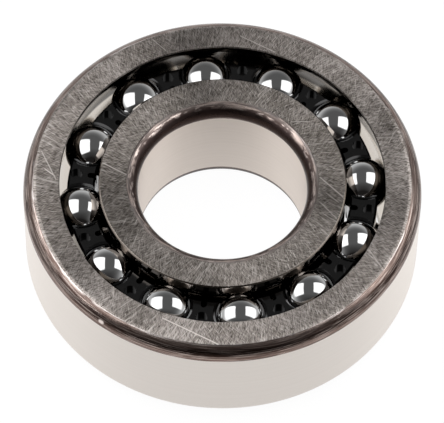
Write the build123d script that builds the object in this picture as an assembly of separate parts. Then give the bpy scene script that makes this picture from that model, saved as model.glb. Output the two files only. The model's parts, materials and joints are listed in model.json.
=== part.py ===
from build123d import *

# Double row self-aligning ball bearing with an open face and a moulded cage.
# Millimetres. The origin is the bearing's centre and +Z runs along its axis.
# The upper row of balls is the one that a viewer looking down the axis sees.

import os
from math import atan2, cos, degrees, hypot, pi, sin, sqrt

# Boundary sizes
bore_diameter = 20.0
outside_diameter = 47.0
width = 14.0

# Corners stay as turned, and the ground faces and cylinders cut them off
outside_corner_axial = 1.83
outside_corner_radial = 1.57
bore_corner_axial = 1.72
bore_corner_radial = 1.33

# Balls: two rows, half a pitch apart, on a circle a little outside the middle between bore and outside
ball_diameter = 6.35
balls_per_row = 12
pitch_circle_shift = 0.125
first_ball_angle = 8.0

# Raceways: one sphere in the outer ring, two grooves in the inner ring
raceway_clearance = 0.02
raceway_chamfer_axial = 0.25
raceway_chamfer_radial = 0.08
groove_conformity = 1.04
groove_depth = 0.92
shoulder_edge_break = 0.15

# Cage: one ring that holds both rows in snap pockets
pocket_clearance = 0.08
wall_between_rows = 1.1
cage_bore_gap = 0.5
cage_outer_reach = 1.5
pocket_grip = 1.65
pocket_lead_in = 0.25
cage_edge_break = 0.25
slit_width = 0.7
slit_depth = 1.9
slit_end_from_pitch = 0.75
dimple_diameter = 1.4
dimple_depth = 0.8
dimple_from_pitch = 0.55

# What follows from the sizes above
half_width = width / 2
ball_radius = ball_diameter / 2
pitch_radius = (bore_diameter + outside_diameter) / 4 + pitch_circle_shift
ball_spacing = 360 / balls_per_row
pocket_radius = ball_radius + pocket_clearance
row_stagger = 2 * pitch_radius * sin(pi / balls_per_row / 2)
row_offset = sqrt((2 * pocket_radius + wall_between_rows) ** 2 - row_stagger**2) / 2
centre_distance = hypot(pitch_radius, row_offset)
contact_angle = atan2(row_offset, pitch_radius)
raceway_radius = centre_distance + ball_radius + raceway_clearance
groove_radius = ball_radius * groove_conformity
groove_centre_distance = centre_distance - ball_radius - raceway_clearance + groove_radius
groove_centre_radius = groove_centre_distance * cos(contact_angle)
groove_centre_height = groove_centre_distance * sin(contact_angle)
shoulder_radius = groove_centre_radius - groove_radius + groove_depth
cage_bore_radius = shoulder_radius + cage_bore_gap
cage_outer_radius = pitch_radius + cage_outer_reach
cage_face = row_offset + pocket_grip


def corner_arc_radius(along, across):
    """Radius of an arc that leaves a cylinder tangentially and ends on the face, so far along and across."""
    return (along**2 + across**2) / (2 * across)


def outer_ring():
    """The outer ring: ground outside, turned corners, and a sphere between two chamfers as raceway."""
    outside = outside_diameter / 2
    face_edge = outside - outside_corner_radial
    corner_height = half_width - outside_corner_axial
    arc_radius = corner_arc_radius(outside_corner_axial, outside_corner_radial)
    raceway_height = half_width - raceway_chamfer_axial
    raceway_edge = sqrt(raceway_radius**2 - raceway_height**2)
    chamfer_edge = raceway_edge + raceway_chamfer_radial
    upper_edge = (raceway_edge, raceway_height)
    lower_edge = (raceway_edge, -raceway_height)
    with BuildPart() as ring:
        with BuildSketch(Plane.XZ):
            with BuildLine():
                Line((outside, -corner_height), (outside, corner_height))
                RadiusArc((outside, corner_height), (face_edge, half_width), -arc_radius)
                Line((face_edge, half_width), (chamfer_edge, half_width))
                Line((chamfer_edge, half_width), upper_edge)
                ThreePointArc(upper_edge, (raceway_radius, 0), lower_edge)
                Line(lower_edge, (chamfer_edge, -half_width))
                Line((chamfer_edge, -half_width), (face_edge, -half_width))
                RadiusArc((face_edge, -half_width), (outside, -corner_height), -arc_radius)
            make_face()
        revolve(axis=Axis.Z)
    return ring.part


def inner_ring():
    """The inner ring: ground bore, turned bore corners, and a groove for each row with a land between."""
    bore = bore_diameter / 2
    face_edge = bore + bore_corner_radial
    corner_height = half_width - bore_corner_axial
    arc_radius = corner_arc_radius(bore_corner_axial, bore_corner_radial)
    shoulder_height = half_width - shoulder_edge_break
    shoulder_face_edge = shoulder_radius - shoulder_edge_break
    with BuildPart() as ring:
        with BuildSketch(Plane.XZ):
            with BuildLine():
                Line((bore, corner_height), (bore, -corner_height))
                RadiusArc((bore, -corner_height), (face_edge, -half_width), -arc_radius)
                Line((face_edge, -half_width), (shoulder_face_edge, -half_width))
                Line((shoulder_face_edge, -half_width), (shoulder_radius, -shoulder_height))
                Line((shoulder_radius, -shoulder_height), (shoulder_radius, shoulder_height))
                Line((shoulder_radius, shoulder_height), (shoulder_face_edge, half_width))
                Line((shoulder_face_edge, half_width), (face_edge, half_width))
                RadiusArc((face_edge, half_width), (bore, corner_height), -arc_radius)
            make_face()
        revolve(axis=Axis.Z)
        with BuildSketch(Plane.XZ):
            with Locations(
                (groove_centre_radius, groove_centre_height),
                (groove_centre_radius, -groove_centre_height),
            ):
                Circle(groove_radius)
        revolve(axis=Axis.Z, mode=Mode.SUBTRACT)
    return ring.part


def turned_over(shape):
    """The same shape for the lower row: the upper row's, turned half round the X axis."""
    return Rot(180, 0, 0) * shape


def round_the_axis(shape, first_angle):
    """One copy of a shape for each ball of a row, turned round the bearing's axis."""
    return [Rot(0, 0, first_angle + ball_spacing * n) * shape for n in range(balls_per_row)]


def pocket():
    """What one pocket of the upper row takes out of the cage: a ball's room, with a lead-in at its mouth."""
    throat_height = pocket_grip - pocket_lead_in
    throat = sqrt(pocket_radius**2 - throat_height**2)
    mouth = throat + 2 * pocket_lead_in
    mouth_height = throat_height + 2 * pocket_lead_in
    with BuildPart() as room:
        with BuildSketch(Plane.XZ):
            with BuildLine():
                ThreePointArc((0, -pocket_radius), (pocket_radius, 0), (throat, throat_height))
                Line((throat, throat_height), (mouth, mouth_height))
                Line((mouth, mouth_height), (0, mouth_height))
                Line((0, mouth_height), (0, -pocket_radius))
            make_face()
        revolve(axis=Axis.Z)
    return Pos(pitch_radius, 0, row_offset) * room.part


def web_relief():
    """What the web between two pockets loses: a slit from the bore, and a round dimple further out."""
    slit_floor = cage_face - slit_depth
    slit_start = cage_bore_radius - cage_bore_gap
    slit_end = pitch_radius - slit_end_from_pitch
    slit_length = slit_end - slit_start - slit_width / 2
    slit = Pos(slit_start, 0, slit_floor) * Box(
        slit_length,
        slit_width,
        2 * slit_depth,
        align=(Align.MIN, Align.CENTER, Align.MIN),
    )
    slit_round = Pos(slit_end - slit_width / 2, 0, slit_floor) * Cylinder(
        slit_width / 2,
        2 * slit_depth,
        align=(Align.CENTER, Align.CENTER, Align.MIN),
    )
    dimple = Cylinder(
        dimple_diameter / 2,
        2 * dimple_depth,
        align=(Align.CENTER, Align.CENTER, Align.MIN),
    )
    seam_to_the_bore = Rot(0, 0, 180)
    dimple = Pos(pitch_radius + dimple_from_pitch, 0, cage_face - dimple_depth) * seam_to_the_bore * dimple
    return [slit + slit_round, dimple]


def cage():
    """The cage: a ring with spherical snap pockets that open to both sides, half a pitch apart."""
    bevel = cage_edge_break
    with BuildPart() as ring:
        with BuildSketch(Plane.XZ):
            with BuildLine():
                Polyline(
                    (cage_bore_radius, -cage_face + bevel),
                    (cage_bore_radius + bevel, -cage_face),
                    (cage_outer_radius - bevel, -cage_face),
                    (cage_outer_radius, -cage_face + bevel),
                    (cage_outer_radius, cage_face - bevel),
                    (cage_outer_radius - bevel, cage_face),
                    (cage_bore_radius + bevel, cage_face),
                    (cage_bore_radius, cage_face - bevel),
                    close=True,
                )
            make_face()
        revolve(axis=Axis.Z)
    cuts = round_the_axis(pocket(), first_ball_angle)
    cuts += round_the_axis(turned_over(pocket()), first_ball_angle + ball_spacing / 2)
    for shape in web_relief():
        cuts += round_the_axis(shape, first_ball_angle + ball_spacing / 2)
        cuts += round_the_axis(turned_over(shape), first_ball_angle)
    return ring.part - cuts


def balls(side, first_angle):
    """The balls of one row, each with its poles on the axis that it spins about."""
    tilt = -side * degrees(contact_angle)
    ball = Pos(pitch_radius, 0, side * row_offset) * Rot(0, tilt, 0) * Sphere(ball_radius)
    return round_the_axis(ball, first_angle)


pieces = {"outer_ring": outer_ring(), "inner_ring": inner_ring(), "cage": cage()}
for row, side, first_angle in (
    ("upper", 1, first_ball_angle),
    ("lower", -1, first_ball_angle + ball_spacing / 2),
):
    for number, ball in enumerate(balls(side, first_angle), 1):
        pieces[f"ball_{row}_{number:02d}"] = ball

os.makedirs("parts", exist_ok=True)
for name, piece in pieces.items():
    export_step(piece, f"parts/{name}.step")

print(f"ball rows {row_offset:.3f} mm from the middle, contact angle {degrees(contact_angle):.2f} degrees")
print(f"raceway radius {raceway_radius:.3f}, shoulder radius {shoulder_radius:.3f}")
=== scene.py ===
import json
from math import atan2, cos, e, hypot, pi, radians, sin, sqrt, tau

import bpy
from mathutils import Matrix, Vector


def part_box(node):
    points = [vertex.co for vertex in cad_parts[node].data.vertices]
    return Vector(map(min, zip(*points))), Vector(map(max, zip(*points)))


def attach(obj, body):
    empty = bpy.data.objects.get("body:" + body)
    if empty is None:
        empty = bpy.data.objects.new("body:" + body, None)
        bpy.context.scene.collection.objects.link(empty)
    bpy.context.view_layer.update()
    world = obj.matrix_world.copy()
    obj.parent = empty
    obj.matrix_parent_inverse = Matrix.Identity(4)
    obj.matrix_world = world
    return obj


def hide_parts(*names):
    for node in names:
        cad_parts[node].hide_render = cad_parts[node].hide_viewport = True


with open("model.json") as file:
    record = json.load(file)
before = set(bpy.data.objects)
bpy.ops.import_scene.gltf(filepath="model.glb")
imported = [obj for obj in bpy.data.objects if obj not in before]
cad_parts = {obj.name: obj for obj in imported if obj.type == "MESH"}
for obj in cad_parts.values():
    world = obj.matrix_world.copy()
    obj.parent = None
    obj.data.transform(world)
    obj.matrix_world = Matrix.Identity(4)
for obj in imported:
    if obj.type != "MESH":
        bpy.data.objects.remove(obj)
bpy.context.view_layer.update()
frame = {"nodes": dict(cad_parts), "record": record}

# A double row self-aligning ball bearing of ground steel, with a moulded cage, on a pale floor.
# Metres, with the origin at the bearing's centre and +Z along its axis.

MM = 0.001

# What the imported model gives: the box of each ring, and where each ball stands
outer_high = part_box("outer_ring")[1]
inner_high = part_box("inner_ring")[1]
first_ball_low, first_ball_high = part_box("ball_upper_01")
half_width = outer_high.z
outside_radius = outer_high.x
shoulder_radius = inner_high.x
bore_radius = frame["record"]["mounts"][0]["dims"]["r_mm"] * MM
ball_names = sorted(name for name in frame["nodes"] if name.startswith("ball_"))


def middle(node):
    """The centre of a node's box."""
    low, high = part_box(node)
    return (low + high) / 2


ball_radius = max(high - low for low, high in zip(first_ball_low, first_ball_high)) / 2
first_ball = middle("ball_upper_01")
pitch_radius = hypot(first_ball.x, first_ball.y)
row_height = first_ball.z

# Sizes that the box doesn't give, in the same words as the rings' own drawing. Corners and the chamfer
# are given as how far they go across the axis and along it.
OUTSIDE_CORNER = (1.57 * MM, 1.83 * MM)
BORE_CORNER = (1.33 * MM, 1.72 * MM)
RACEWAY_CHAMFER = (0.08 * MM, 0.25 * MM)
SHOULDER_BREAK = 0.15 * MM
RACEWAY_CLEARANCE = 0.02 * MM
GROOVE_CONFORMITY = 1.04

# The face's grinding runs over the start of the outside corner
FACE_RUNS_OVER = 0.33 * MM

# How finely the turned rings are drawn: steps round the axis, the angle of a step along an arc and the
# fewest steps, how near each end of a straight run a point keeps the shading flat, and how near points at
# the seam are merged
STEPS_AROUND = 480
ARC_STEP = radians(5)
FEWEST_ARC_STEPS = 3
SUPPORT = 0.03 * MM
SEAM_GAP = 0.0001 * MM

# How often each triangle of a ball's icosahedron is divided
BALL_SUBDIVISIONS = 5


def hex_colour(text):
    """A linear colour with full alpha from an sRGB hex value."""
    channels = [int(text[n : n + 2], 16) / 255 for n in (1, 3, 5)]
    linear = [c / 12.92 if c <= 0.04045 else ((c + 0.055) / 1.055) ** 2.4 for c in channels]
    return (*linear, 1.0)


def add_node(tree, kind, inputs=None, **settings):
    """Adds a node. Settings go to its properties, and inputs to its sockets, as values or as links.

    A socket goes by its name, or by its number where several have one name. In Map Range the value is 0, the
    span that it comes from is 1 and 2, and the span that it goes to is 3 and 4.
    """
    made = tree.nodes.new(kind)
    for name, value in settings.items():
        setattr(made, name, value)
    for socket, value in (inputs or {}).items():
        if isinstance(value, bpy.types.NodeSocket):
            tree.links.new(value, made.inputs[socket])
        else:
            made.inputs[socket].default_value = value
    return made


def new_group(name, kind, inputs, outputs):
    """A node group with named sockets. Returns the tree, its inputs by name, and its output node."""
    tree = bpy.data.node_groups.new(name, kind)
    for direction, sockets in (("INPUT", inputs), ("OUTPUT", outputs)):
        for socket_name, socket_kind in sockets.items():
            tree.interface.new_socket(name=socket_name, in_out=direction, socket_type=socket_kind)
    start = tree.nodes.new("NodeGroupInput")
    end = tree.nodes.new("NodeGroupOutput")
    return tree, start.outputs, end


def set_stops(ramp, stops):
    """Gives a colour ramp its stops, as (position, colour)."""
    while len(ramp.elements) < len(stops):
        ramp.elements.new(position=0.5)
    for element, (position, colour) in zip(ramp.elements, stops):
        element.position = position
        element.color = colour


# Patterns that the machines leave on the steel

# Most degrees that a mark turns from the radius
MOST_LEAN = 45.0


def polar_place():
    """Where a point lies round the axis: its direction from the axis, its radius and its height, in mm."""
    tree, _, end = new_group(
        "place round the axis",
        "ShaderNodeTree",
        {},
        {"Direction": "NodeSocketVector", "Radius": "NodeSocketFloat", "Height": "NodeSocketFloat"},
    )
    metres = add_node(tree, "ShaderNodeTexCoord").outputs["Object"]
    place = add_node(
        tree, "ShaderNodeVectorMath", {0: metres, "Scale": 1 / MM}, operation="SCALE"
    ).outputs[0]
    flat = add_node(tree, "ShaderNodeVectorMath", {0: place, 1: (1, 1, 0)}, operation="MULTIPLY").outputs[0]
    direction = add_node(tree, "ShaderNodeVectorMath", {0: flat}, operation="NORMALIZE").outputs[0]
    radius = add_node(tree, "ShaderNodeVectorMath", {0: flat}, operation="LENGTH").outputs["Value"]
    height = add_node(tree, "ShaderNodeSeparateXYZ", {0: place}).outputs["Z"]
    tree.links.new(direction, end.inputs["Direction"])
    tree.links.new(radius, end.inputs["Radius"])
    tree.links.new(height, end.inputs["Height"])
    return tree


def grinding_strokes(place_group):
    """Marks across a ring's face, as grit leaves them: noise from 0 to 1.

    They lean one way from the radius, and lean is the tangent of that angle.
    """
    tree, given, end = new_group(
        "grinding strokes",
        "ShaderNodeTree",
        {
            "Lean": "NodeSocketFloat",
            "Width mm": "NodeSocketFloat",
            "Length mm": "NodeSocketFloat",
            "Middle radius mm": "NodeSocketFloat",
            "Seed": "NodeSocketFloat",
        },
        {"Strokes": "NodeSocketFloat"},
    )
    place = add_node(tree, "ShaderNodeGroup", node_tree=place_group).outputs
    log_radius = add_node(tree, "ShaderNodeMath", {0: place["Radius"], 1: e}, operation="LOGARITHM")
    turn = add_node(
        tree, "ShaderNodeMath", {0: log_radius.outputs[0], 1: given["Lean"]}, operation="MULTIPLY"
    ).outputs[0]
    leaning = add_node(
        tree, "ShaderNodeVectorRotate", {"Vector": place["Direction"], "Angle": turn}, rotation_type="Z_AXIS"
    ).outputs[0]
    strokes_a_radian = add_node(
        tree, "ShaderNodeMath", {0: given["Middle radius mm"], 1: given["Width mm"]}, operation="DIVIDE"
    ).outputs[0]
    across = add_node(
        tree, "ShaderNodeVectorMath", {0: leaning, "Scale": strokes_a_radian}, operation="SCALE"
    ).outputs[0]
    along = add_node(
        tree, "ShaderNodeMath", {0: place["Radius"], 1: given["Length mm"]}, operation="DIVIDE"
    ).outputs[0]
    apart = add_node(
        tree, "ShaderNodeMath", {0: place["Height"], 1: given["Seed"]}, operation="ADD"
    ).outputs[0]
    depth = add_node(tree, "ShaderNodeMath", {0: along, 1: apart}, operation="ADD").outputs[0]
    lift = add_node(tree, "ShaderNodeCombineXYZ", {"Z": depth}).outputs[0]
    spot = add_node(tree, "ShaderNodeVectorMath", {0: across, 1: lift}, operation="ADD").outputs[0]
    noise = add_node(
        tree, "ShaderNodeTexNoise", {"Vector": spot, "Scale": 1.0, "Detail": 1.0, "Roughness": 0.5}
    ).outputs["Fac"]
    tree.links.new(noise, end.inputs["Strokes"])
    return tree


def single_scratch(place_group):
    """One straight scratch between two places in mm, from 1 in its middle to 0 at its sides."""
    tree, given, end = new_group(
        "single scratch",
        "ShaderNodeTree",
        {"Start": "NodeSocketVector", "End": "NodeSocketVector", "Width mm": "NodeSocketFloat"},
        {"Mark": "NodeSocketFloat"},
    )
    place = add_node(tree, "ShaderNodeGroup", node_tree=place_group).outputs
    flat = add_node(
        tree, "ShaderNodeVectorMath", {0: place["Direction"], "Scale": place["Radius"]}, operation="SCALE"
    ).outputs[0]
    run = add_node(
        tree, "ShaderNodeVectorMath", {0: given["End"], 1: given["Start"]}, operation="SUBTRACT"
    ).outputs[0]
    reach = add_node(
        tree, "ShaderNodeVectorMath", {0: flat, 1: given["Start"]}, operation="SUBTRACT"
    ).outputs[0]
    along = add_node(
        tree, "ShaderNodeVectorMath", {0: reach, 1: run}, operation="DOT_PRODUCT"
    ).outputs["Value"]
    whole = add_node(
        tree, "ShaderNodeVectorMath", {0: run, 1: run}, operation="DOT_PRODUCT"
    ).outputs["Value"]
    share = add_node(
        tree, "ShaderNodeMath", {0: along, 1: whole}, operation="DIVIDE", use_clamp=True
    ).outputs[0]
    foot = add_node(tree, "ShaderNodeVectorMath", {0: run, "Scale": share}, operation="SCALE").outputs[0]
    off = add_node(tree, "ShaderNodeVectorMath", {0: reach, 1: foot}, operation="DISTANCE").outputs["Value"]
    mark = add_node(
        tree,
        "ShaderNodeMapRange",
        {0: off, 1: 0.0, 2: given["Width mm"], 3: 1.0, 4: 0.0},
        interpolation_type="SMOOTHSTEP",
    ).outputs[0]
    tree.links.new(mark, end.inputs["Mark"])
    return tree


def turning_lines(place_group):
    """Fine lines round the axis, as a lathe or a grinding wheel leaves them on a turned surface."""
    tree, given, end = new_group(
        "turning lines",
        "ShaderNodeTree",
        {"Spacing mm": "NodeSocketFloat", "Run mm": "NodeSocketFloat", "Seed": "NodeSocketFloat"},
        {"Lines": "NodeSocketFloat"},
    )
    place = add_node(tree, "ShaderNodeGroup", node_tree=place_group).outputs
    runs = add_node(
        tree, "ShaderNodeMath", {0: place["Radius"], 1: given["Run mm"]}, operation="DIVIDE"
    ).outputs[0]
    around = add_node(
        tree, "ShaderNodeVectorMath", {0: place["Direction"], "Scale": runs}, operation="SCALE"
    ).outputs[0]
    profile = add_node(
        tree, "ShaderNodeMath", {0: place["Height"], 1: place["Radius"]}, operation="SUBTRACT"
    ).outputs[0]
    across = add_node(
        tree, "ShaderNodeMath", {0: profile, 1: given["Spacing mm"]}, operation="DIVIDE"
    ).outputs[0]
    apart = add_node(tree, "ShaderNodeMath", {0: across, 1: given["Seed"]}, operation="ADD").outputs[0]
    lift = add_node(tree, "ShaderNodeCombineXYZ", {"Z": apart}).outputs[0]
    spot = add_node(tree, "ShaderNodeVectorMath", {0: around, 1: lift}, operation="ADD").outputs[0]
    noise = add_node(
        tree, "ShaderNodeTexNoise", {"Vector": spot, "Scale": 1.0, "Detail": 3.0, "Roughness": 0.55}
    ).outputs["Fac"]
    tree.links.new(noise, end.inputs["Lines"])
    return tree


place_group = polar_place()
strokes_group = grinding_strokes(place_group)
scratch_group = single_scratch(place_group)
lines_group = turning_lines(place_group)


def new_material(name):
    """A material with an empty tree and one Principled shader. Returns it, its tree and the shader."""
    material = bpy.data.materials.new(name)
    material.use_nodes = True
    tree = material.node_tree
    tree.nodes.clear()
    shader = tree.nodes.new("ShaderNodeBsdfPrincipled")
    add_node(tree, "ShaderNodeOutputMaterial", {"Surface": shader.outputs[0]})
    return material, tree, shader


def lean_round_the_ring(tree, leans):
    """How far the marks turn from the radius, in whole turns, from leans in degrees at even steps round."""
    place = add_node(tree, "ShaderNodeGroup", node_tree=place_group).outputs
    sides = add_node(tree, "ShaderNodeSeparateXYZ", {0: place["Direction"]}).outputs
    angle = add_node(tree, "ShaderNodeMath", {0: sides["Y"], 1: sides["X"]}, operation="ARCTAN2").outputs[0]
    turn = add_node(tree, "ShaderNodeMath", {0: angle, 1: tau}, operation="DIVIDE").outputs[0]
    share = add_node(tree, "ShaderNodeMath", {0: turn, 1: 1.0}, operation="FLOORED_MODULO").outputs[0]
    round_the_ring = add_node(tree, "ShaderNodeValToRGB", {"Fac": share})
    stops = []
    for step, lean in enumerate(leans + leans[:1]):
        level = 0.5 + lean / (2 * MOST_LEAN)
        stops.append((step / len(leans), (level, level, level, 1)))
    set_stops(round_the_ring.color_ramp, stops)
    limit = MOST_LEAN / 360
    return add_node(
        tree, "ShaderNodeMapRange", {0: round_the_ring.outputs["Color"], 3: -limit, 4: limit}
    ).outputs[0]


# Nearly all of a noise lies in this span
MOST_OF_A_NOISE = (0.3, 0.7)

# Strokes of the cup wheel on a face: the tangent of their lean from the radius, their width and length in
# mm, and a seed. Felt strokes cover the face, bright and crossing ones stand out, and arcs gather in
# sectors; the pale colour of the bright, crossing and arc strokes is partly painted glint. Widths of 0.07
# and 0.08 mm are some seven times a real grit mark's, which would be lost at the picture's size.
FACE_STROKES = {
    "felt": (0.45, 0.07, 0.6, 3.0),
    "felt across": (-0.55, 0.07, 0.55, 41.0),
    "bright": (0.3, 0.08, 0.9, 87.0),
    "crossing": (-0.9, 0.08, 0.8, 133.0),
    "sectors": (0.0, 2.6, 9.0, 171.0),
    "arcs": (0.3, 0.17, 2.6, 211.0),
}
# Where the strokes' noise begins to show, where it shows in full, and how strongly
FELT_SHOWS = (0.8, 1.22)
STROKES_SHOW = {
    "bright": (0.6, 0.74, 0.8),
    "crossing": (0.61, 0.75, 0.75),
    "sectors": (0.48, 0.62, 1.0),
    "arcs": (0.54, 0.72, 0.55),
}
# Cloudy patches on a face, some 5 mm across: where they turn pale, and the turns that the lean wanders
PATCHES_PER_MM = 0.21
PATCHES_SHOW = (0.36, 0.64)
LEAN_WANDERS = 0.03


def ground_face(name, middle_radius, dark_shades, light_shades, scratches, leans):
    """Bearing steel, side face ground on a cup wheel: dull grey metal, felted with short crossing strokes.

    Dark shades lie between the felt strokes and light ones on them, each as a darker and a paler patch has
    it. The pale strokes and scratches are partly a tone of their own and partly painted glints. Each scratch
    is (radius, degrees) at its start and its end, its width, all in mm, and its strength.
    """
    material, tree, shader = new_material(name)
    strokes = {}
    for layer, (lean, width, length, seed) in FACE_STROKES.items():
        strokes[layer] = add_node(
            tree,
            "ShaderNodeGroup",
            {
                "Lean": lean,
                "Width mm": width,
                "Length mm": length,
                "Middle radius mm": middle_radius,
                "Seed": seed,
            },
            node_tree=strokes_group,
        ).outputs["Strokes"]
    summed = add_node(
        tree, "ShaderNodeMath", {0: strokes["felt"], 1: strokes["felt across"]}, operation="ADD"
    ).outputs[0]
    felt = add_node(tree, "ShaderNodeMapRange", {0: summed, 1: FELT_SHOWS[0], 2: FELT_SHOWS[1]}).outputs[0]
    for layer, (least, most, strength) in STROKES_SHOW.items():
        strokes[layer] = add_node(
            tree, "ShaderNodeMapRange", {0: strokes[layer], 1: least, 2: most, 4: strength}
        ).outputs[0]
    in_sectors = add_node(
        tree, "ShaderNodeMath", {0: strokes["sectors"], 1: strokes["arcs"]}, operation="MULTIPLY"
    ).outputs[0]
    marks_and_painted_glints = strokes["bright"]
    for other in (strokes["crossing"], in_sectors):
        marks_and_painted_glints = add_node(tree, "ShaderNodeMath", {0: marks_and_painted_glints, 1: other}, operation="MAXIMUM").outputs[0]
    for start, end, width, strength in scratches:
        ends = [
            (radius * cos(radians(angle)), radius * sin(radians(angle)), 0.0)
            for radius, angle in (start, end)
        ]
        mark = add_node(
            tree,
            "ShaderNodeGroup",
            {"Start": ends[0], "End": ends[1], "Width mm": width},
            node_tree=scratch_group,
        ).outputs["Mark"]
        mark = add_node(tree, "ShaderNodeMath", {0: mark, 1: strength}, operation="MULTIPLY").outputs[0]
        marks_and_painted_glints = add_node(tree, "ShaderNodeMath", {0: marks_and_painted_glints, 1: mark}, operation="MAXIMUM").outputs[0]

    metres = add_node(tree, "ShaderNodeTexCoord").outputs["Object"]
    patches = add_node(
        tree,
        "ShaderNodeTexNoise",
        {"Vector": metres, "Scale": PATCHES_PER_MM / MM, "Detail": 2.0, "Roughness": 0.5},
    ).outputs["Fac"]
    paler = add_node(
        tree, "ShaderNodeMapRange", {0: patches, 1: PATCHES_SHOW[0], 2: PATCHES_SHOW[1]}
    ).outputs[0]
    shades = []
    for darker_patch, paler_patch in (dark_shades, light_shades):
        shade = add_node(
            tree,
            "ShaderNodeMix",
            {"Factor": paler, "A": hex_colour(darker_patch), "B": hex_colour(paler_patch)},
            data_type="RGBA",
        )
        shades.append(shade.outputs["Result"])
    colour = add_node(
        tree, "ShaderNodeMix", {"Factor": felt, "A": shades[0], "B": shades[1]}, data_type="RGBA"
    ).outputs["Result"]
    # Strokes and scratches are painted pale: partly a tone of their own, and partly painted glints where
    # grinding marks would catch the soft boxes.
    colour = add_node(
        tree, "ShaderNodeMix", {"Factor": marks_and_painted_glints, "A": colour, "B": hex_colour("#e2dbd6")}, data_type="RGBA"
    ).outputs["Result"]
    tree.links.new(colour, shader.inputs["Base Color"])
    uneven = add_node(
        tree,
        "ShaderNodeMapRange",
        {0: patches, 1: MOST_OF_A_NOISE[0], 2: MOST_OF_A_NOISE[1], 3: -LEAN_WANDERS, 4: LEAN_WANDERS},
    ).outputs[0]
    leaning = lean_round_the_ring(tree, leans)
    turn = add_node(tree, "ShaderNodeMath", {0: leaning, 1: uneven}, operation="ADD").outputs[0]
    tree.links.new(turn, shader.inputs["Anisotropic Rotation"])
    radial = add_node(tree, "ShaderNodeTangent", direction_type="RADIAL", axis="Z").outputs[0]
    tree.links.new(radial, shader.inputs["Tangent"])
    relief = add_node(tree, "ShaderNodeMath", {0: felt, 1: marks_and_painted_glints}, operation="ADD").outputs[0]
    bump = add_node(tree, "ShaderNodeBump", {"Height": relief, "Strength": 1.0, "Distance": 0.006 * MM})
    tree.links.new(bump.outputs[0], shader.inputs["Normal"])
    shader.inputs["Roughness"].default_value = 0.48
    shader.inputs["Anisotropic"].default_value = 0.74
    shader.inputs["Metallic"].default_value = 1.0
    return material


# How much rougher a ground cylinder gets from its smoothest line to its dullest
CYLINDER_ROUGHER = 0.08
# A quarter turn lays a stretched highlight across the lines instead of along them
QUARTER_TURN = 0.25


def ground_cylinder(name, light, dark, roughness):
    """Bearing steel, cylinder ground on the round: a light satin metal with faint lines round the axis.

    The lines spread a reflection up and down, and hardly round the axis. They are drawn 0.22 mm apart,
    more than ten times as coarse as the wheel leaves them, which would be lost at the picture's size.
    """
    material, tree, shader = new_material(name)
    lines = add_node(
        tree, "ShaderNodeGroup", {"Spacing mm": 0.22, "Run mm": 60.0, "Seed": 5.0}, node_tree=lines_group
    ).outputs["Lines"]
    colour = add_node(
        tree,
        "ShaderNodeMix",
        {"Factor": lines, "A": hex_colour(dark), "B": hex_colour(light)},
        data_type="RGBA",
    ).outputs["Result"]
    tree.links.new(colour, shader.inputs["Base Color"])
    spread = add_node(
        tree, "ShaderNodeMapRange", {0: lines, 3: roughness, 4: roughness + CYLINDER_ROUGHER}
    ).outputs[0]
    tree.links.new(spread, shader.inputs["Roughness"])
    bump = add_node(tree, "ShaderNodeBump", {"Height": lines, "Strength": 1.0, "Distance": 0.0006 * MM})
    tree.links.new(bump.outputs[0], shader.inputs["Normal"])
    round_the_axis = add_node(tree, "ShaderNodeTangent", direction_type="RADIAL", axis="Z").outputs[0]
    tree.links.new(round_the_axis, shader.inputs["Tangent"])
    shader.inputs["Anisotropic"].default_value = 0.9
    shader.inputs["Anisotropic Rotation"].default_value = QUARTER_TURN
    shader.inputs["Metallic"].default_value = 1.0
    return material


# Lines on a turned corner: their spacing, a lathe's fine feed but for the border's, and their run round
# the axis, both in mm, and a seed. Border and frayed lines make the bands of scale and painted light sway,
# dull ones are scale that stayed, and bare ones are metal rubbed clean.
CORNER_LINES = {
    "border": (0.9, 5.0, 23.0),
    "frayed": (0.12, 1.6, 57.0),
    "dull": (0.12, 7.0, 71.0),
    "bare": (0.16, 3.2, 91.0),
}
# The span of the lines' noise over which the bands sway from one side to the other
BANDS_SWAY = (0.25, 0.75)
# How far each way the lower end of the rubbed lines fades, as a share of the corner's depth
RUBBED_FADE = 0.08
# Between which distances a worn spot comes up, as shares of its width
SPOT_SHOWS = (0.7, 0.3)


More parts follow.
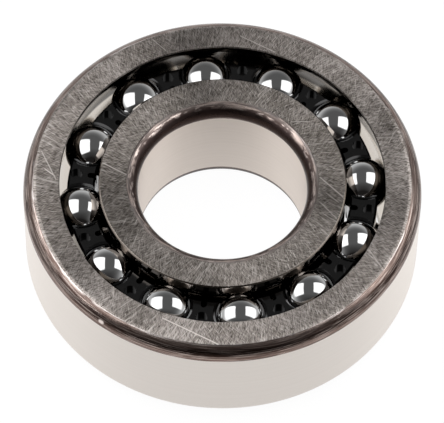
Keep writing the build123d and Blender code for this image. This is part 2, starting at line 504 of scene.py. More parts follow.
def turned_corner(
    name, depth, scale_bands_and_painted_light, wave, rubbed_lines, rubbed_strength, rubbed_end, dullness, worn_spots=()
):
    """Bearing steel, corner left as turned and hardened: bands of brown scale, lathe lines rubbed bright.

    Depth is the corner's height in mm. Scale bands and painted light are colours from the face, at 0, to the
    cylinder, at 1: brown scale, with pale stops that are painted highlights and painted reflections. Wave is
    how far they sway. Rubbed lines are given by their spacing and run in mm and a seed, and rubbed end says
    how far down they reach. Dullness is the roughness where nothing has rubbed. A worn spot is bare metal:
    its radius, degrees, height and width, in mm.
    """
    material, tree, shader = new_material(name)
    height = add_node(tree, "ShaderNodeGroup", node_tree=place_group).outputs["Height"]
    height = add_node(tree, "ShaderNodeMath", {0: height}, operation="ABSOLUTE").outputs[0]
    down = add_node(
        tree, "ShaderNodeMapRange", {0: height, 1: half_width / MM, 2: half_width / MM - depth}
    ).outputs[0]
    lines = {}
    for layer, (spacing, run, seed) in {"rubbed": rubbed_lines, **CORNER_LINES}.items():
        lines[layer] = add_node(
            tree,
            "ShaderNodeGroup",
            {"Spacing mm": spacing, "Run mm": run, "Seed": seed},
            node_tree=lines_group,
        ).outputs["Lines"]
    for layer, sway in (("border", wave), ("frayed", wave / 2)):
        shift = add_node(
            tree,
            "ShaderNodeMapRange",
            {0: lines[layer], 1: BANDS_SWAY[0], 2: BANDS_SWAY[1], 3: -sway, 4: sway},
        ).outputs[0]
        down = add_node(tree, "ShaderNodeMath", {0: down, 1: shift}, operation="ADD").outputs[0]
    # The ramp is brown scale with painted light: its pale stops are painted highlights and painted
    # reflections.
    scale_ramp_and_painted_light = add_node(tree, "ShaderNodeValToRGB", {"Fac": down})
    set_stops(scale_ramp_and_painted_light.color_ramp, [(position, hex_colour(shade)) for position, shade in scale_bands_and_painted_light])
    colour = scale_ramp_and_painted_light.outputs["Color"]
    in_reach = add_node(
        tree, "ShaderNodeMapRange", {0: down, 1: rubbed_end + RUBBED_FADE, 2: rubbed_end - RUBBED_FADE}
    ).outputs[0]
    # Where each line's noise begins to show, where it shows in full, how strongly, and where on the corner
    for layer, least, most, strength, extent, shade in (
        ("rubbed", 0.53, 0.63, rubbed_strength, in_reach, "#cfc0b9"),
        ("dull", 0.5, 0.66, 0.75, 1.0, "#3a2c28"),
        ("bare", 0.53, 0.62, rubbed_strength, in_reach, "#b4a49c"),
    ):
        shown = add_node(
            tree, "ShaderNodeMapRange", {0: lines[layer], 1: least, 2: most, 4: strength}
        ).outputs[0]
        shown = add_node(tree, "ShaderNodeMath", {0: shown, 1: extent}, operation="MULTIPLY").outputs[0]
        colour = add_node(
            tree, "ShaderNodeMix", {"Factor": shown, "A": colour, "B": hex_colour(shade)}, data_type="RGBA"
        ).outputs["Result"]
    metres = add_node(tree, "ShaderNodeTexCoord").outputs["Object"]
    for radius, angle, spot_height, width in worn_spots:
        spot = (radius * cos(radians(angle)) * MM, radius * sin(radians(angle)) * MM, spot_height * MM)
        away = add_node(
            tree, "ShaderNodeVectorMath", {0: metres, 1: spot}, operation="DISTANCE"
        ).outputs["Value"]
        worn = add_node(
            tree,
            "ShaderNodeMapRange",
            {0: away, 1: width * SPOT_SHOWS[0] * MM, 2: width * SPOT_SHOWS[1] * MM},
        ).outputs[0]
        colour = add_node(
            tree,
            "ShaderNodeMix",
            {"Factor": worn, "A": colour, "B": hex_colour("#e9dcd6")},
            data_type="RGBA",
        ).outputs["Result"]
    tree.links.new(colour, shader.inputs["Base Color"])
    roughness = add_node(
        tree,
        "ShaderNodeMapRange",
        {0: lines["rubbed"], 1: MOST_OF_A_NOISE[0], 2: MOST_OF_A_NOISE[1], 3: dullness, 4: dullness / 2},
    ).outputs[0]
    tree.links.new(roughness, shader.inputs["Roughness"])
    bump = add_node(
        tree, "ShaderNodeBump", {"Height": lines["rubbed"], "Strength": 1.0, "Distance": 0.02 * MM}
    )
    tree.links.new(bump.outputs[0], shader.inputs["Normal"])
    shader.inputs["Metallic"].default_value = 0.85
    return material


# How many times rougher a lapped raceway is on its lines than between them
RACEWAY_ROUGHER = 1.5
# How far the edge of the painted shade on the raceway runs out, in mm
PAINTED_SHADE_FADE = 0.6


def lapped_raceway(name, colour, roughness, painted_shade_colour=None, painted_shade_height=0.0):
    """Bearing steel, raceway honed or lapped: shiny, with a trace of lines round the axis.

    The lines are drawn 0.12 mm apart, coarser than the stone leaves them, so that they show at all. Above
    the painted shade height, in mm, where the cage's pockets and the upper row shade it, painted shade
    darkens it.
    """
    material, tree, shader = new_material(name)
    lines = add_node(
        tree, "ShaderNodeGroup", {"Spacing mm": 0.12, "Run mm": 80.0, "Seed": 31.0}, node_tree=lines_group
    ).outputs["Lines"]
    spread = add_node(
        tree, "ShaderNodeMapRange", {0: lines, 3: roughness, 4: roughness * RACEWAY_ROUGHER}
    ).outputs[0]
    tree.links.new(spread, shader.inputs["Roughness"])
    shader.inputs["Base Color"].default_value = hex_colour(colour)
    # Painted shade: the raceway turns darker above a height, standing in for the shadow of the cage's
    # pockets.
    if painted_shade_colour:
        height = add_node(tree, "ShaderNodeGroup", node_tree=place_group).outputs["Height"]
        oil_smears_and_painted_shade = add_node(
            tree,
            "ShaderNodeMapRange",
            {0: height, 1: painted_shade_height - PAINTED_SHADE_FADE / 2, 2: painted_shade_height + PAINTED_SHADE_FADE / 2},
        ).outputs[0]
        shade = add_node(
            tree,
            "ShaderNodeMix",
            {"Factor": oil_smears_and_painted_shade, "A": hex_colour(colour), "B": hex_colour(painted_shade_colour)},
            data_type="RGBA",
        ).outputs["Result"]
        tree.links.new(shade, shader.inputs["Base Color"])
    shader.inputs["Metallic"].default_value = 1.0
    return material


# Smears of oil on a ball, some 1 mm across: where they show, and the roughness without and with them
SMEARS_PER_MM = 0.9
SMEARS_SHOW = (0.4, 0.7)
BALL_ROUGHNESS = (0.035, 0.07)


def lapped_ball(name):
    """Bearing steel, ball lapped to a mirror, which a breath of oil hardly dulls."""
    material, tree, shader = new_material(name)
    metres = add_node(tree, "ShaderNodeTexCoord").outputs["Object"]
    oil_smears_and_painted_shade = add_node(
        tree, "ShaderNodeTexNoise", {"Vector": metres, "Scale": SMEARS_PER_MM / MM, "Detail": 2.0}
    ).outputs["Fac"]
    roughness = add_node(
        tree,
        "ShaderNodeMapRange",
        {0: oil_smears_and_painted_shade, 1: SMEARS_SHOW[0], 2: SMEARS_SHOW[1], 3: BALL_ROUGHNESS[0], 4: BALL_ROUGHNESS[1]},
    ).outputs[0]
    tree.links.new(roughness, shader.inputs["Roughness"])
    shader.inputs["Base Color"].default_value = hex_colour("#bababa")
    shader.inputs["Metallic"].default_value = 1.0
    return material


# Grains of the moulded skin, 0.4 mm across. Real ones are as fine as the glass fibres and wouldn't show.
GRAINS_PER_MM = 2.6
POLYAMIDE_ROUGHNESS = (0.08, 0.17)


def moulded_polyamide(name):
    """Black glass-fibre polyamide as moulded: a low gloss, and a faint orange peel from the fibres."""
    material, tree, shader = new_material(name)
    metres = add_node(tree, "ShaderNodeTexCoord").outputs["Object"]
    grain = add_node(
        tree, "ShaderNodeTexNoise", {"Vector": metres, "Scale": GRAINS_PER_MM / MM, "Detail": 3.0}
    ).outputs["Fac"]
    colour = add_node(
        tree,
        "ShaderNodeMix",
        {"Factor": grain, "A": hex_colour("#030303"), "B": hex_colour("#080707")},
        data_type="RGBA",
    ).outputs["Result"]
    tree.links.new(colour, shader.inputs["Base Color"])
    roughness = add_node(
        tree, "ShaderNodeMapRange", {0: grain, 3: POLYAMIDE_ROUGHNESS[0], 4: POLYAMIDE_ROUGHNESS[1]}
    ).outputs[0]
    tree.links.new(roughness, shader.inputs["Roughness"])
    bump = add_node(tree, "ShaderNodeBump", {"Height": grain, "Strength": 1.0, "Distance": 0.004 * MM})
    tree.links.new(bump.outputs[0], shader.inputs["Normal"])
    shader.inputs["IOR"].default_value = 1.5
    shader.inputs["Specular IOR Level"].default_value = 0.7
    return material


# Single scratches on the faces: start and end as (radius, degrees), width, all in mm, and strength
OUTER_SCRATCHES = (
    ((20.0, 250.7), (22.2, 269.5), 0.11, 1.0),
    ((19.5, 72.0), (20.9, 85.0), 0.1, 0.8),
    ((21.8, 170.0), (19.6, 180.5), 0.1, 0.8),
    ((21.0, 176.5), (19.8, 179.0), 0.12, 1.0),
    ((21.8, 328.5), (19.5, 332.0), 0.09, 0.7),
    ((21.9, 113.5), (19.8, 111.0), 0.09, 0.7),
    ((21.8, 20.5), (20.4, 16.5), 0.09, 0.6),
)
INNER_SCRATCHES = (
    ((14.3, 171.0), (11.4, 176.5), 0.11, 0.9),
    ((14.3, 352.4), (11.5, 4.0), 0.1, 0.9),
    ((14.3, 340.0), (11.9, 346.5), 0.1, 0.8),
    ((13.9, 349.0), (12.3, 353.5), 0.09, 0.7),
    ((13.2, 41.0), (11.7, 47.0), 0.09, 0.6),
    ((14.0, 222.0), (12.2, 217.0), 0.09, 0.6),
)
# How many degrees the cup wheel's marks lean from the radius, each 30 degrees round a face
OUTER_LEANS = (0.0, -22.0, -22.0, -35.0, 22.0, -9.0, 0.0, -20.0, 10.0, 0.0, 12.0, -28.0)
INNER_LEANS = (25.0, 5.0, -12.0, -30.0, 12.0, -12.0, 0.0, -5.0, -20.0, -42.0, -5.0, -27.0)

# Scale on the turned corners, from the face edge down to the cylinder, with painted light among it. On the
# outside corner the pale line at the face edge is a painted highlight, the lighter band about two thirds of
# the way down is a painted reflection of a soft box, and the pale end at the cylinder is a painted
# reflection of the table. On the bore corner the pale stops at the face edge are a painted highlight.
OUTSIDE_SCALE_AND_PAINTED_LIGHT = (
    (0.03, "#c2bbb8"),
    (0.07, "#5f514b"),
    (0.15, "#6b5a53"),
    (0.25, "#4f3d36"),
    (0.33, "#2f2019"),
    (0.54, "#35241d"),
    (0.66, "#66524a"),
    (0.84, "#786259"),
    (0.94, "#523d35"),
    (1.0, "#94847c"),
)
BORE_SCALE_AND_PAINTED_HIGHLIGHT = (
    (0.0, "#8f8885"),
    (0.07, "#6f6561"),
    (0.16, "#4a3f3c"),
    (0.26, "#352a28"),
    (0.85, "#3f3330"),
    (1.0, "#8d807a"),
)

# Where a knock has bared the metal of the outside corner, in two overlapping spots: radius, degrees,
# height and width, in mm
WORN_SPOTS = (
    (23.34, 233.7, 5.92, 0.46),
    (23.34, 234.3, 5.92, 0.46),
)

outer_face = ground_face(
    "bearing steel, outer ring face ground",
    middle_radius=20.6,
    dark_shades=("#49433e", "#5c5550"),
    light_shades=("#a39b95", "#c0b8b3"),
    scratches=OUTER_SCRATCHES,
    leans=OUTER_LEANS,
)
inner_face = ground_face(
    "bearing steel, inner ring face ground",
    middle_radius=12.9,
    dark_shades=("#453f3a", "#534d48"),
    light_shades=("#98918a", "#b0a8a2"),
    scratches=INNER_SCRATCHES,
    leans=INNER_LEANS,
)
outside_finish = ground_cylinder(
    "bearing steel, outside ground", light="#e7e0da", dark="#ddd6cf", roughness=0.3
)
bore_finish = ground_cylinder("bearing steel, bore honed", light="#e6ddd6", dark="#d8cec5", roughness=0.37)
outside_corner_finish = turned_corner(
    "bearing steel, outside corner turned and hardened",
    depth=OUTSIDE_CORNER[1] / MM,
    scale_bands_and_painted_light=OUTSIDE_SCALE_AND_PAINTED_LIGHT,
    wave=0.07,
    rubbed_lines=(0.1, 5.0, 11.0),
    rubbed_strength=0.62,
    rubbed_end=2.0,
    dullness=0.28,
    worn_spots=WORN_SPOTS,
)
bore_corner_finish = turned_corner(
    "bearing steel, bore corner turned and hardened",
    depth=BORE_CORNER[1] / MM,
    scale_bands_and_painted_light=BORE_SCALE_AND_PAINTED_HIGHLIGHT,
    wave=0.05,
    rubbed_lines=(0.1, 1.6, 11.0),
    rubbed_strength=0.8,
    rubbed_end=0.22,
    dullness=0.44,
)
shoulder_edge_finish = lapped_raceway(
    "bearing steel, shoulder edge ground", colour="#91887f", roughness=0.15
)
chamfer_finish = lapped_raceway(
    "bearing steel, raceway chamfer turned", colour="#2e2521", roughness=0.25
)
raceway_finish = lapped_raceway(
    "bearing steel, raceway honed", colour="#e0d7cc", roughness=0.1, painted_shade_colour="#453e37", painted_shade_height=2.5
)
land_finish = lapped_raceway("bearing steel, grooves and lands lapped", colour="#aaa199", roughness=0.06)
ball_finish = lapped_ball("bearing steel, ball lapped")
cage_finish = moulded_polyamide("polyamide, moulded")


# Shapes


def line_to(points, end):
    """Carries an outline straight on. A point close to each end keeps a long run's shading flat."""
    start = Vector(points[-1])
    goal = Vector(end)
    along = (goal - start).normalized() * SUPPORT
    if (goal - start).length > 4 * SUPPORT:
        points += [tuple(start + along), tuple(goal - along)]
    points.append(tuple(goal))


def arc_to(points, centre, end, turn):
    """Carries an outline round a centre to its end. Turn is 1 anticlockwise and -1 clockwise."""
    start = points[-1]
    radius = hypot(start[0] - centre[0], start[1] - centre[1])
    first = atan2(start[1] - centre[1], start[0] - centre[0])
    sweep = (atan2(end[1] - centre[1], end[0] - centre[0]) - first) * turn % tau
    steps = max(FEWEST_ARC_STEPS, round(sweep / ARC_STEP))
    for n in range(1, steps):
        angle = first + turn * sweep * n / steps
        points.append((centre[0] + radius * cos(angle), centre[1] + radius * sin(angle)))
    points.append(end)


def corner_centre(cylinder_radius, towards, corner):
    """Centre of the corner's arc, which leaves the cylinder tangentially and ends on the upper face."""
    across, along = corner
    radius = (along**2 + across**2) / (2 * across)
    return (cylinder_radius + towards * radius, half_width - along)


def mirrored(points):
    """An outline's upper half, followed by the same points below the middle plane in reverse."""
    return points + [(r, -z) for r, z in reversed(points) if z > 0]


def outer_ring_outline():
    """Half section of the outer ring, from the middle of its outside round to the middle of its raceway."""
    centre_distance = hypot(pitch_radius, row_height)
    raceway_radius = centre_distance + ball_radius + RACEWAY_CLEARANCE
    edge_height = half_width - RACEWAY_CHAMFER[1]
    edge_radius = sqrt(raceway_radius**2 - edge_height**2)
    face_edge = outside_radius - OUTSIDE_CORNER[0]
    points = [(outside_radius, 0.0)]
    line_to(points, (outside_radius, half_width - OUTSIDE_CORNER[1]))
    arc_to(points, corner_centre(outside_radius, -1, OUTSIDE_CORNER), (face_edge, half_width), 1)
    line_to(points, (edge_radius + RACEWAY_CHAMFER[0], half_width))
    line_to(points, (edge_radius, edge_height))
    arc_to(points, (0.0, 0.0), (raceway_radius, 0.0), -1)
    return mirrored(points)


def inner_ring_outline():
    """Half section of the inner ring, from the middle of its land round to the middle of its bore."""
    groove_radius = ball_radius * GROOVE_CONFORMITY
    centre_distance = hypot(pitch_radius, row_height)
    groove_distance = centre_distance - ball_radius - RACEWAY_CLEARANCE + groove_radius
    groove = (
        groove_distance * pitch_radius / centre_distance,
        groove_distance * row_height / centre_distance,
    )
    reach = sqrt(groove_radius**2 - (groove[0] - shoulder_radius) ** 2)
    face_edge = bore_radius + BORE_CORNER[0]
    points = [(shoulder_radius, 0.0)]
    line_to(points, (shoulder_radius, groove[1] - reach))
    arc_to(points, groove, (shoulder_radius, groove[1] + reach), -1)
    line_to(points, (shoulder_radius, half_width - SHOULDER_BREAK))
    line_to(points, (shoulder_radius - SHOULDER_BREAK, half_width))
    line_to(points, (face_edge, half_width))
    arc_to(points, corner_centre(bore_radius, 1, BORE_CORNER), (bore_radius, half_width - BORE_CORNER[1]), 1)
    line_to(points, (bore_radius, 0.0))
    return mirrored(points)


def revolve_tree(zones):
    """Geometry Nodes that turn an outline round the axis, and give each zone of the surface its finish.

    A zone is (finish, least radius, most radius, lowest, highest), and later zones win.
    """
    tree, given, end = new_group(
        "turned ring",
        "GeometryNodeTree",
        {"Outline": "NodeSocketGeometry", "Points": "NodeSocketInt", "Steps around": "NodeSocketInt"},
        {"Ring": "NodeSocketGeometry"},
    )
    rows = add_node(
        tree, "FunctionNodeIntegerMath", {0: given["Steps around"], 1: 1}, operation="ADD"
    ).outputs[0]
    grid = add_node(
        tree, "GeometryNodeMeshGrid", {"Vertices X": rows, "Vertices Y": given["Points"]}
    ).outputs["Mesh"]
    index = add_node(tree, "GeometryNodeInputIndex").outputs[0]
    point = add_node(
        tree, "FunctionNodeIntegerMath", {0: index, 1: given["Points"]}, operation="MODULO"
    ).outputs[0]
    row = add_node(
        tree, "FunctionNodeIntegerMath", {0: index, 1: given["Points"]}, operation="DIVIDE_FLOOR"
    ).outputs[0]
    share = add_node(
        tree, "ShaderNodeMath", {0: row, 1: given["Steps around"]}, operation="DIVIDE"
    ).outputs[0]
    angle = add_node(tree, "ShaderNodeMath", {0: share, 1: tau}, operation="MULTIPLY").outputs[0]
    position = add_node(tree, "GeometryNodeInputPosition").outputs[0]
    on_outline = add_node(
        tree,
        "GeometryNodeSampleIndex",
        {"Geometry": given["Outline"], "Value": position, "Index": point},
        data_type="FLOAT_VECTOR",
        domain="POINT",
    ).outputs["Value"]
    turned = add_node(
        tree, "ShaderNodeVectorRotate", {"Vector": on_outline, "Angle": angle}, rotation_type="Z_AXIS"
    ).outputs[0]
    placed = add_node(tree, "GeometryNodeSetPosition", {"Geometry": grid, "Position": turned}).outputs[0]
    closed = add_node(
        tree, "GeometryNodeMergeByDistance", {"Geometry": placed, "Distance": SEAM_GAP}
    ).outputs[0]
    surface = add_node(
        tree, "GeometryNodeSetShadeSmooth", {"Geometry": closed, "Shade Smooth": True}
    ).outputs[0]
    flat = add_node(
        tree, "ShaderNodeVectorMath", {0: position, 1: (1, 1, 0)}, operation="MULTIPLY"
    ).outputs[0]
    radius = add_node(tree, "ShaderNodeVectorMath", {0: flat}, operation="LENGTH").outputs["Value"]
    height = add_node(tree, "ShaderNodeSeparateXYZ", {0: position}).outputs["Z"]
    for finish, least_radius, most_radius, lowest, highest in zones:
        inside = []
        for value, limit, operation in (
            (radius, least_radius, "GREATER_THAN"),
            (radius, most_radius, "LESS_THAN"),
            (height, lowest, "GREATER_THAN"),
            (height, highest, "LESS_THAN"),
        ):
            inside.append(
                add_node(tree, "FunctionNodeCompare", {0: value, 1: limit}, operation=operation).outputs[0]
            )
        across = add_node(tree, "FunctionNodeBooleanMath", {0: inside[0], 1: inside[1]}).outputs[0]
        along = add_node(tree, "FunctionNodeBooleanMath", {0: inside[2], 1: inside[3]}).outputs[0]
        chosen = add_node(tree, "FunctionNodeBooleanMath", {0: across, 1: along}).outputs[0]
        surface = add_node(
            tree, "GeometryNodeSetMaterial", {"Geometry": surface, "Selection": chosen, "Material": finish}
        ).outputs[0]
    tree.links.new(surface, end.inputs["Ring"])
    return tree


def ball_tree():
    """Geometry Nodes that make one ball at a place round the axis."""
    tree, given, end = new_group(
        "lapped ball",
        "GeometryNodeTree",
        {
            "Geometry": "NodeSocketGeometry",
            "Radius": "NodeSocketFloat",
            "Centre": "NodeSocketVector",
            "Finish": "NodeSocketMaterial",
        },
        {"Ball": "NodeSocketGeometry"},
    )
    sphere = add_node(
        tree, "GeometryNodeMeshIcoSphere", {"Radius": given["Radius"], "Subdivisions": BALL_SUBDIVISIONS}
    )
    placed = add_node(
        tree, "GeometryNodeTransform", {"Geometry": sphere.outputs["Mesh"], "Translation": given["Centre"]}
    ).outputs[0]
    smooth = add_node(
        tree, "GeometryNodeSetShadeSmooth", {"Geometry": placed, "Shade Smooth": True}
    ).outputs[0]
    real = add_node(tree, "GeometryNodeRealizeInstances", {"Geometry": smooth}).outputs[0]
    finished = add_node(
        tree, "GeometryNodeSetMaterial", {"Geometry": real, "Material": given["Finish"]}
    ).outputs[0]
    tree.links.new(finished, end.inputs["Ball"])
    return tree


def grow(name, tree, start, values):
    """Runs a Geometry Nodes tree on a start mesh, and returns the result as an object with a plain mesh."""
    seed = bpy.data.objects.new(name + "_start", start)
    bpy.context.scene.collection.objects.link(seed)
    modifier = seed.modifiers.new("grow", "NODES")
    modifier.node_group = tree
    for socket in tree.interface.items_tree:
        if socket.name in values:
            modifier[socket.identifier] = values[socket.name]
    depsgraph = bpy.context.evaluated_depsgraph_get()
    mesh = bpy.data.meshes.new_from_object(seed.evaluated_get(depsgraph), depsgraph=depsgraph)
    bpy.data.objects.remove(seed)
    mesh.name = name
    piece = bpy.data.objects.new(name, mesh)
    bpy.context.scene.collection.objects.link(piece)
    return piece


def outline_mesh(name, points):
    """A mesh that only holds an outline's points, in the plane through the axis."""
    mesh = bpy.data.meshes.new(name)
    mesh.from_pydata([(r, 0.0, z) for r, z in points], [], [])
    return mesh


def turned_ring(name, node, outline, zones):
    """A ring turned from its outline, in place of its plain solid."""
    closed = outline + outline[:1]
    ring = grow(
        name,
        revolve_tree(zones),
        outline_mesh(name + "_outline", closed),
        {"Points": len(closed), "Steps around": STEPS_AROUND},
    )
    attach(ring, node)
    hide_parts(node)


# A zone's limit where it has none on that side, and how near to a flat or a cylinder counts as on it
FAR = 1.0
NEAR = 0.01 * MM
# How far the upper face's finish reaches down its edges, and the outside's in from the cylinder
FACE_FINISH_DEPTH = 0.2 * MM
OUTSIDE_FINISH_DEPTH = 0.3 * MM
# What lies less than this outside the balls' reach belongs to the outer ring's raceway
RACEWAY_MARGIN = 0.5 * MM
raceway_height = half_width - RACEWAY_CHAMFER[1]
inside_the_raceway = pitch_radius + ball_radius + RACEWAY_MARGIN
outside_face_edge = outside_radius - OUTSIDE_CORNER[0]
bore_face_edge = bore_radius + BORE_CORNER[0]
outer_zones = [
    (outside_corner_finish, 0.0, FAR, -FAR, FAR),
    (chamfer_finish, 0.0, inside_the_raceway, -FAR, FAR),
    (raceway_finish, 0.0, inside_the_raceway, -raceway_height, raceway_height),
    (outer_face, 0.0, outside_face_edge + FACE_RUNS_OVER, half_width - FACE_FINISH_DEPTH, FAR),
    (outer_face, 0.0, outside_face_edge, -FAR, NEAR - half_width),
    (outside_finish, outside_radius - OUTSIDE_FINISH_DEPTH, FAR, -FAR, half_width - OUTSIDE_CORNER[1]),
]
inner_zones = [
    (bore_corner_finish, 0.0, FAR, -FAR, FAR),
    (shoulder_edge_finish, bore_face_edge, FAR, -FAR, FAR),
    (land_finish, bore_face_edge, FAR, SHOULDER_BREAK - half_width, half_width - SHOULDER_BREAK),
    (inner_face, bore_face_edge, FAR, half_width - NEAR, FAR),
    (inner_face, bore_face_edge, FAR, -FAR, NEAR - half_width),
    (bore_finish, 0.0, bore_radius + NEAR, BORE_CORNER[1] - half_width, half_width - BORE_CORNER[1]),
]
turned_ring("outer_ring_steel", "outer_ring", outer_ring_outline(), outer_zones)
turned_ring("inner_ring_steel", "inner_ring", inner_ring_outline(), inner_zones)

tree_of_balls = ball_tree()
for ball_name in ball_names:
    ball = grow(
        ball_name + "_steel",
        tree_of_balls,
        bpy.data.meshes.new(ball_name),
        {"Radius": ball_radius, "Centre": middle(ball_name), "Finish": ball_finish},
    )
    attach(ball, ball_name)
    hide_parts(ball_name)

cage = frame["nodes"]["cage"]
for slot in cage.material_slots:
    slot.material = cage_finish


# The studio


def flat_panel(name, corners):
    """A flat four-cornered panel of the studio."""
    mesh = bpy.data.meshes.new(name)
    mesh.from_pydata(corners, [], [(0, 1, 2, 3)])
    panel = bpy.data.objects.new(name, mesh)
    bpy.context.scene.collection.objects.link(panel)
    return panel


# The table stays clear of the lower side faces, so that the two don't show through each other
TABLE_GAP = 0.02 * MM
# How far the table runs out each way, in metres
TABLE_REACH = 3.0
# How much of the table's white is its own where it is seen, how much of that is left below the rings,
# where the loss is a painted shadow, and how strong it is, which meets the backdrop's foot
OWN_WHITE = 0.92
OWN_WHITE_LEFT_IN_PAINTED_SHADOW = 0.85
WHITE_STRENGTH = 1.05


def pale_floor():
    """A white table that runs out to a white backdrop, and keeps the bearing's shadow.

    The camera, mirrors and glass see mostly its own white, dimmed below the rings as a painted shadow, and
    all other light meets white paper.
    """
    level = -half_width - TABLE_GAP
    sides = ((-1, -1), (1, -1), (1, 1), (-1, 1))
    floor = flat_panel("floor", [(x * TABLE_REACH, y * TABLE_REACH, level) for x, y in sides])
    material = bpy.data.materials.new("floor")
    material.use_nodes = True
    tree = material.node_tree
    tree.nodes.clear()
    seen = add_node(tree, "ShaderNodeLightPath").outputs
    mirrored_too = add_node(
        tree, "ShaderNodeMath", {0: seen["Is Camera Ray"], 1: seen["Is Glossy Ray"]}, operation="MAXIMUM"
    ).outputs[0]
    through_too = add_node(
        tree, "ShaderNodeMath", {0: mirrored_too, 1: seen["Is Transmission Ray"]}, operation="MAXIMUM"
    ).outputs[0]
    metres = add_node(tree, "ShaderNodeTexCoord").outputs["Object"]
    flat = add_node(tree, "ShaderNodeVectorMath", {0: metres, 1: (1, 1, 0)}, operation="MULTIPLY").outputs[0]
    radius = add_node(tree, "ShaderNodeVectorMath", {0: flat}, operation="LENGTH").outputs["Value"]
    # Below the rings the table's own white is dimmed: a painted shadow.
    past_bore = add_node(
        tree, "ShaderNodeMath", {0: radius, 1: bore_radius + BORE_CORNER[0]}, operation="GREATER_THAN"
    ).outputs[0]
    short_of_outside = add_node(
        tree, "ShaderNodeMath", {0: radius, 1: outside_radius - OUTSIDE_CORNER[0]}, operation="LESS_THAN"
    ).outputs[0]
    painted_shadow_zone = add_node(
        tree, "ShaderNodeMath", {0: past_bore, 1: short_of_outside}, operation="MULTIPLY"
    ).outputs[0]
    painted_shadow_dimming = add_node(tree, "ShaderNodeMapRange", {0: painted_shadow_zone, 3: 1.0, 4: OWN_WHITE_LEFT_IN_PAINTED_SHADOW}).outputs[0]
    lit = add_node(tree, "ShaderNodeMath", {0: through_too, 1: painted_shadow_dimming}, operation="MULTIPLY").outputs[0]
    share = add_node(tree, "ShaderNodeMath", {0: lit, 1: OWN_WHITE}, operation="MULTIPLY").outputs[0]
    paper = add_node(tree, "ShaderNodeBsdfDiffuse", {"Color": (0.85, 0.85, 0.85, 1)}).outputs[0]
    glow = add_node(
        tree, "ShaderNodeEmission", {"Color": (1, 1, 1, 1), "Strength": WHITE_STRENGTH}
    ).outputs[0]
    mixed = add_node(tree, "ShaderNodeMixShader", {0: share, 1: paper, 2: glow}).outputs[0]
    add_node(tree, "ShaderNodeOutputMaterial", {"Surface": mixed})
    floor.data.materials.append(material)


# Brightness of the backdrop by its height in degrees above the table
DOME = (
    (0, 1.05),
    (4, 1.0),
    (9, 0.85),
    (15, 0.78),
    (21, 0.6),
    (27, 0.42),
    (36, 0.24),
    (48, 0.165),
    (90, 0.165),
)
# The room is dark towards the viewer: the Y of a direction where that begins and where it is full, and
# its colour
DARK_SIDE = (-0.3, -0.85)
DARK_ROOM = (0.022, 0.02, 0.019, 1)


def studio_world():
    """What surrounds the table: a white backdrop low down, darker above, and dark on the viewer's side."""
    world = bpy.data.worlds.new("studio")
    bpy.context.scene.world = world
    world.use_nodes = True
    tree = world.node_tree
    tree.nodes.clear()
    direction = add_node(tree, "ShaderNodeTexCoord").outputs["Generated"]
    parts = add_node(tree, "ShaderNodeSeparateXYZ", {0: direction}).outputs
    dome = add_node(tree, "ShaderNodeValToRGB", {"Fac": parts["Z"]})
    set_stops(
        dome.color_ramp,
        [(sin(radians(height)), (level, level, level, 1)) for height, level in DOME],
    )
    front = add_node(
        tree, "ShaderNodeMapRange", {0: parts["Y"], 1: DARK_SIDE[0], 2: DARK_SIDE[1]}
    ).outputs[0]
    colour = add_node(
        tree,
        "ShaderNodeMix",
        {"Factor": front, "A": dome.outputs["Color"], "B": DARK_ROOM},
        data_type="RGBA",
    ).outputs["Result"]
    seen = add_node(tree, "ShaderNodeLightPath").outputs["Is Camera Ray"]
    final = add_node(
        tree, "ShaderNodeMix", {"Factor": seen, "A": colour, "B": (1, 1, 1, 1)}, data_type="RGBA"
    ).outputs["Result"]
    background = add_node(tree, "ShaderNodeBackground", {"Color": final}).outputs[0]
    add_node(tree, "ShaderNodeOutputWorld", {"Surface": background})


def fade_to_the_edges(light, outer_end):
    """Lets a soft box grow dimmer towards the edges of its cloth, and most of all towards its outer end."""
    light.use_nodes = True
    tree = light.node_tree
    tree.nodes.clear()
    on_cloth = add_node(tree, "ShaderNodeNewGeometry").outputs["Parametric"]
    sides = add_node(tree, "ShaderNodeSeparateXYZ", {0: on_cloth}).outputs
    level = 1.0
    # From which end the cloth fades, over which share of its length, and to which share of its brightness
    for side, end, band, least in (
        (sides["X"], outer_end, 0.4, 0.06),
        (sides["X"], 1.0 - outer_end, 0.1, 0.4),
        (sides["Y"], 0.0, 0.15, 0.3),
        (sides["Y"], 1.0, 0.15, 0.3),
    ):
        from_end = add_node(tree, "ShaderNodeMath", {0: side, 1: end}, operation="SUBTRACT").outputs[0]
        distance = add_node(tree, "ShaderNodeMath", {0: from_end}, operation="ABSOLUTE").outputs[0]
        fade = add_node(
            tree,
            "ShaderNodeMapRange",
            {0: distance, 1: 0.0, 2: band, 3: least, 4: 1.0},
            interpolation_type="SMOOTHSTEP",
        ).outputs[0]
        level = add_node(tree, "ShaderNodeMath", {0: fade, 1: level}, operation="MULTIPLY").outputs[0]
    glow = add_node(tree, "ShaderNodeEmission", {"Strength": level}).outputs[0]
    add_node(tree, "ShaderNodeOutputLight", {"Surface": glow})


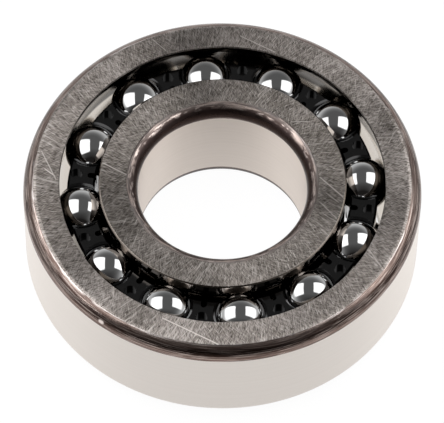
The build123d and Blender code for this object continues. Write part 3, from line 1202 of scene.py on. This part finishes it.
# Brightness of the soft boxes' cloth, where a white table seen by the camera is about 1
SOFT_BOX_RADIANCE = 2.9


def soft_box(name, inner_edge, outer_edge, front, back):
    """A soft box beside the bearing, from its inner to its outer edge, each (x, z), all in metres."""
    halfway = (front + back) / 2
    inner = Vector((inner_edge[0], halfway, inner_edge[1]))
    outer = Vector((outer_edge[0], halfway, outer_edge[1]))
    width = (outer - inner).length
    depth = back - front
    light = bpy.data.lights.new(name, "AREA")
    light.shape = "RECTANGLE"
    light.size = width
    light.size_y = depth
    light.energy = SOFT_BOX_RADIANCE * width * depth * pi
    fade_to_the_edges(light, 0.0 if outer.x < inner.x else 1.0)
    lamp = bpy.data.objects.new(name, light)
    across = (outer - inner).normalized()
    if across.x < 0:
        across = -across
    along = Vector((0, 1, 0))
    normal = across.cross(along)
    facing = Matrix((across, along, normal)).transposed().to_4x4()
    lamp.matrix_world = Matrix.Translation((inner + outer) / 2) @ facing
    lamp.visible_camera = False
    bpy.context.scene.collection.objects.link(lamp)


def photo_camera():
    """The camera as it stood: in front of the bearing, high up, and a little rolled."""
    distance = 472.9 * MM
    elevation = radians(57.33)
    look_down = radians(57.762)
    roll = radians(1.062)
    focal_length = 325.9
    data = bpy.data.cameras.new("camera")
    data.sensor_fit = "HORIZONTAL"
    data.sensor_width = 36.0
    data.lens = focal_length
    data.clip_start = 0.01
    data.clip_end = 20.0
    camera = bpy.data.objects.new("camera", data)
    place = Vector((0, -distance * cos(elevation), distance * sin(elevation) + half_width))
    turn = Matrix.Rotation(pi / 2 - look_down, 4, "X") @ Matrix.Rotation(roll, 4, "Z")
    camera.matrix_world = Matrix.Translation(place) @ turn
    bpy.context.scene.collection.objects.link(camera)
    bpy.context.scene.camera = camera


pale_floor()
studio_world()
soft_box(
    "left soft box", inner_edge=(-0.025, 0.080), outer_edge=(-0.085, 0.032), front=-0.042, back=0.038
)
soft_box(
    "right soft box", inner_edge=(0.030, 0.078), outer_edge=(0.087, 0.030), front=-0.028, back=0.036
)
photo_camera()
bpy.context.scene.view_settings.view_transform = "Standard"
